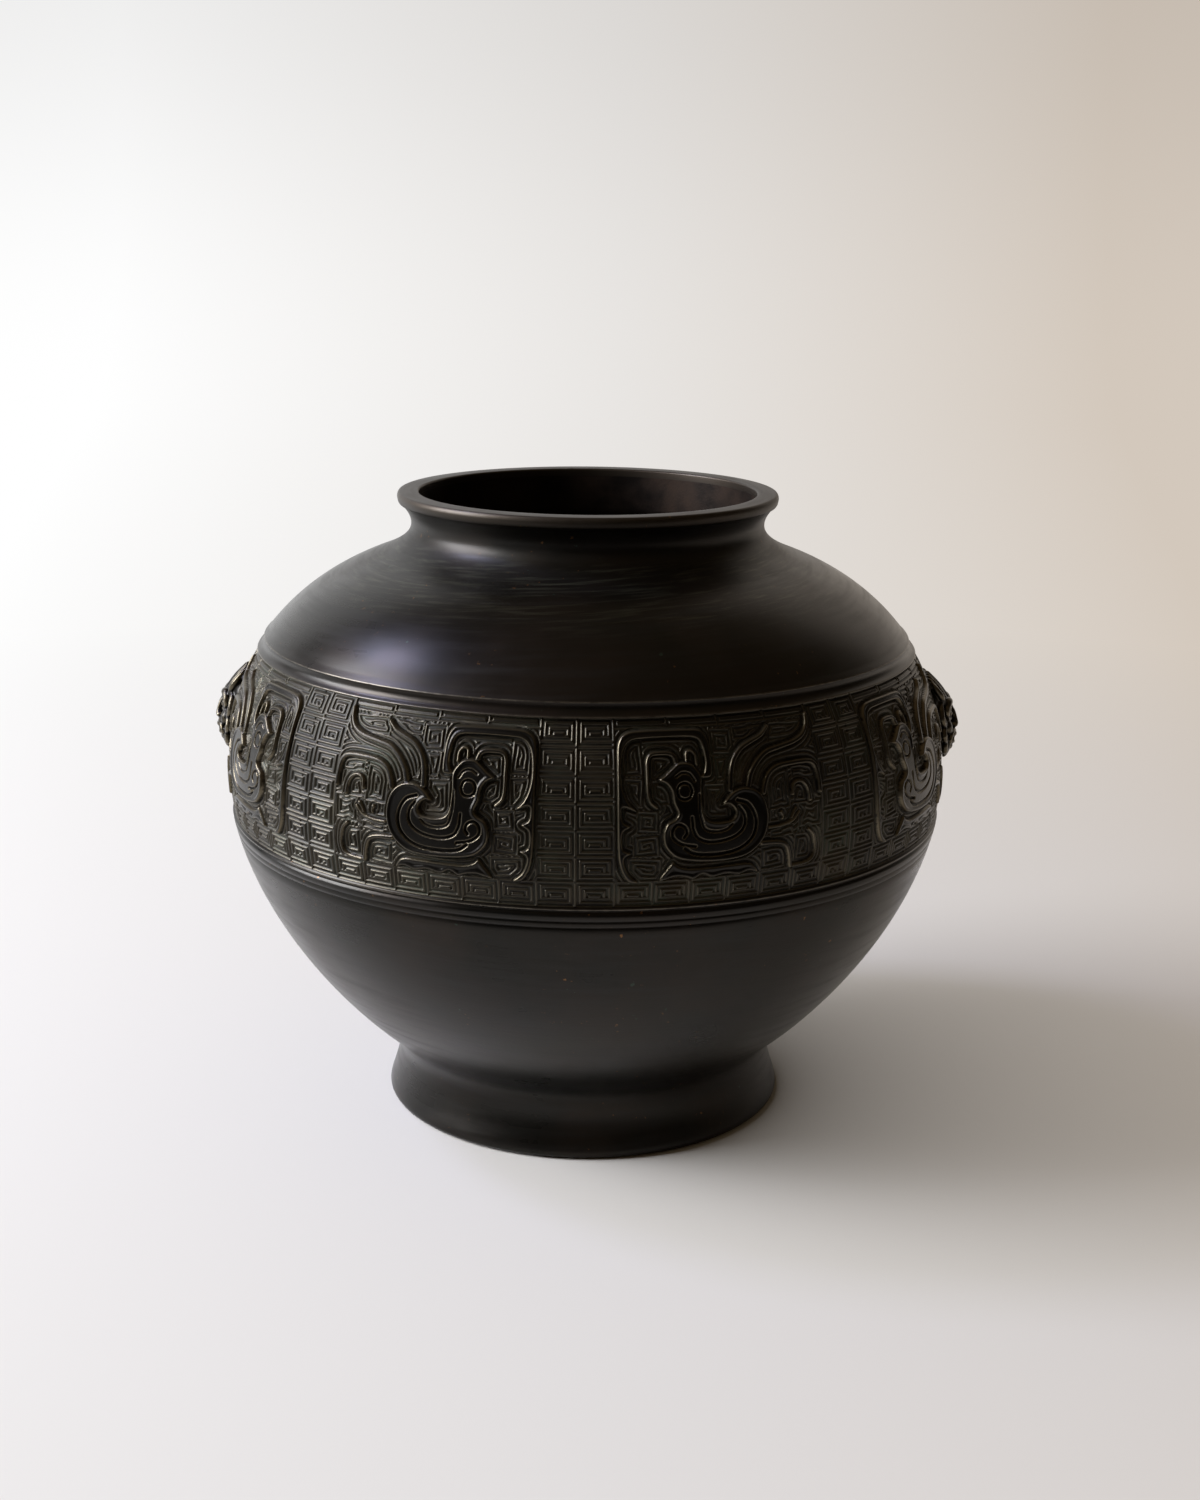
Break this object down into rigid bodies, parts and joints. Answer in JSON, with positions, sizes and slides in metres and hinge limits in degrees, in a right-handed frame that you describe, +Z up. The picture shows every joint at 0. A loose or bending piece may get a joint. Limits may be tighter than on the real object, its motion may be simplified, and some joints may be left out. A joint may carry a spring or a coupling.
{
  "type": "bronze ikebana vase",
  "caption": "Wide cast-bronze flower vase with a flared foot, short neck under a flat lip, relief band, beast-mask lugs and an inset base plate.",
  "frame": {"origin": "centre of the foot ring's underside, on the surface the vase stands on", "axes": "+Z up along the axis of the vase, +X through the right-hand mask, -Y towards the front divider of the relief"},
  "size_m": [0.2982, 0.2804, 0.244],
  "materials": {
    "body_bronze": "dark brown patinated cast bronze, satin, faint turning marks",
    "mask_bronze": "dark patinated cast bronze, satin, chased",
    "plate_bronze": "turned bronze, dull brown patina",
    "solder": "dull grey soft solder, smoothed by hand",
    "rivet_bronze": "hammered bronze rivet head, dull"
  },
  "bodies": {
    "root": {"vase_body": "body_bronze", "base_plate": "plate_bronze", "base_solder_ring": "solder", "mask_right": "mask_bronze", "mask_left": "mask_bronze", "rivet_right_upper": "rivet_bronze", "rivet_right_lower": "rivet_bronze", "rivet_left_upper": "rivet_bronze", "rivet_left_lower": "rivet_bronze"}
  },
  "joints": []
}
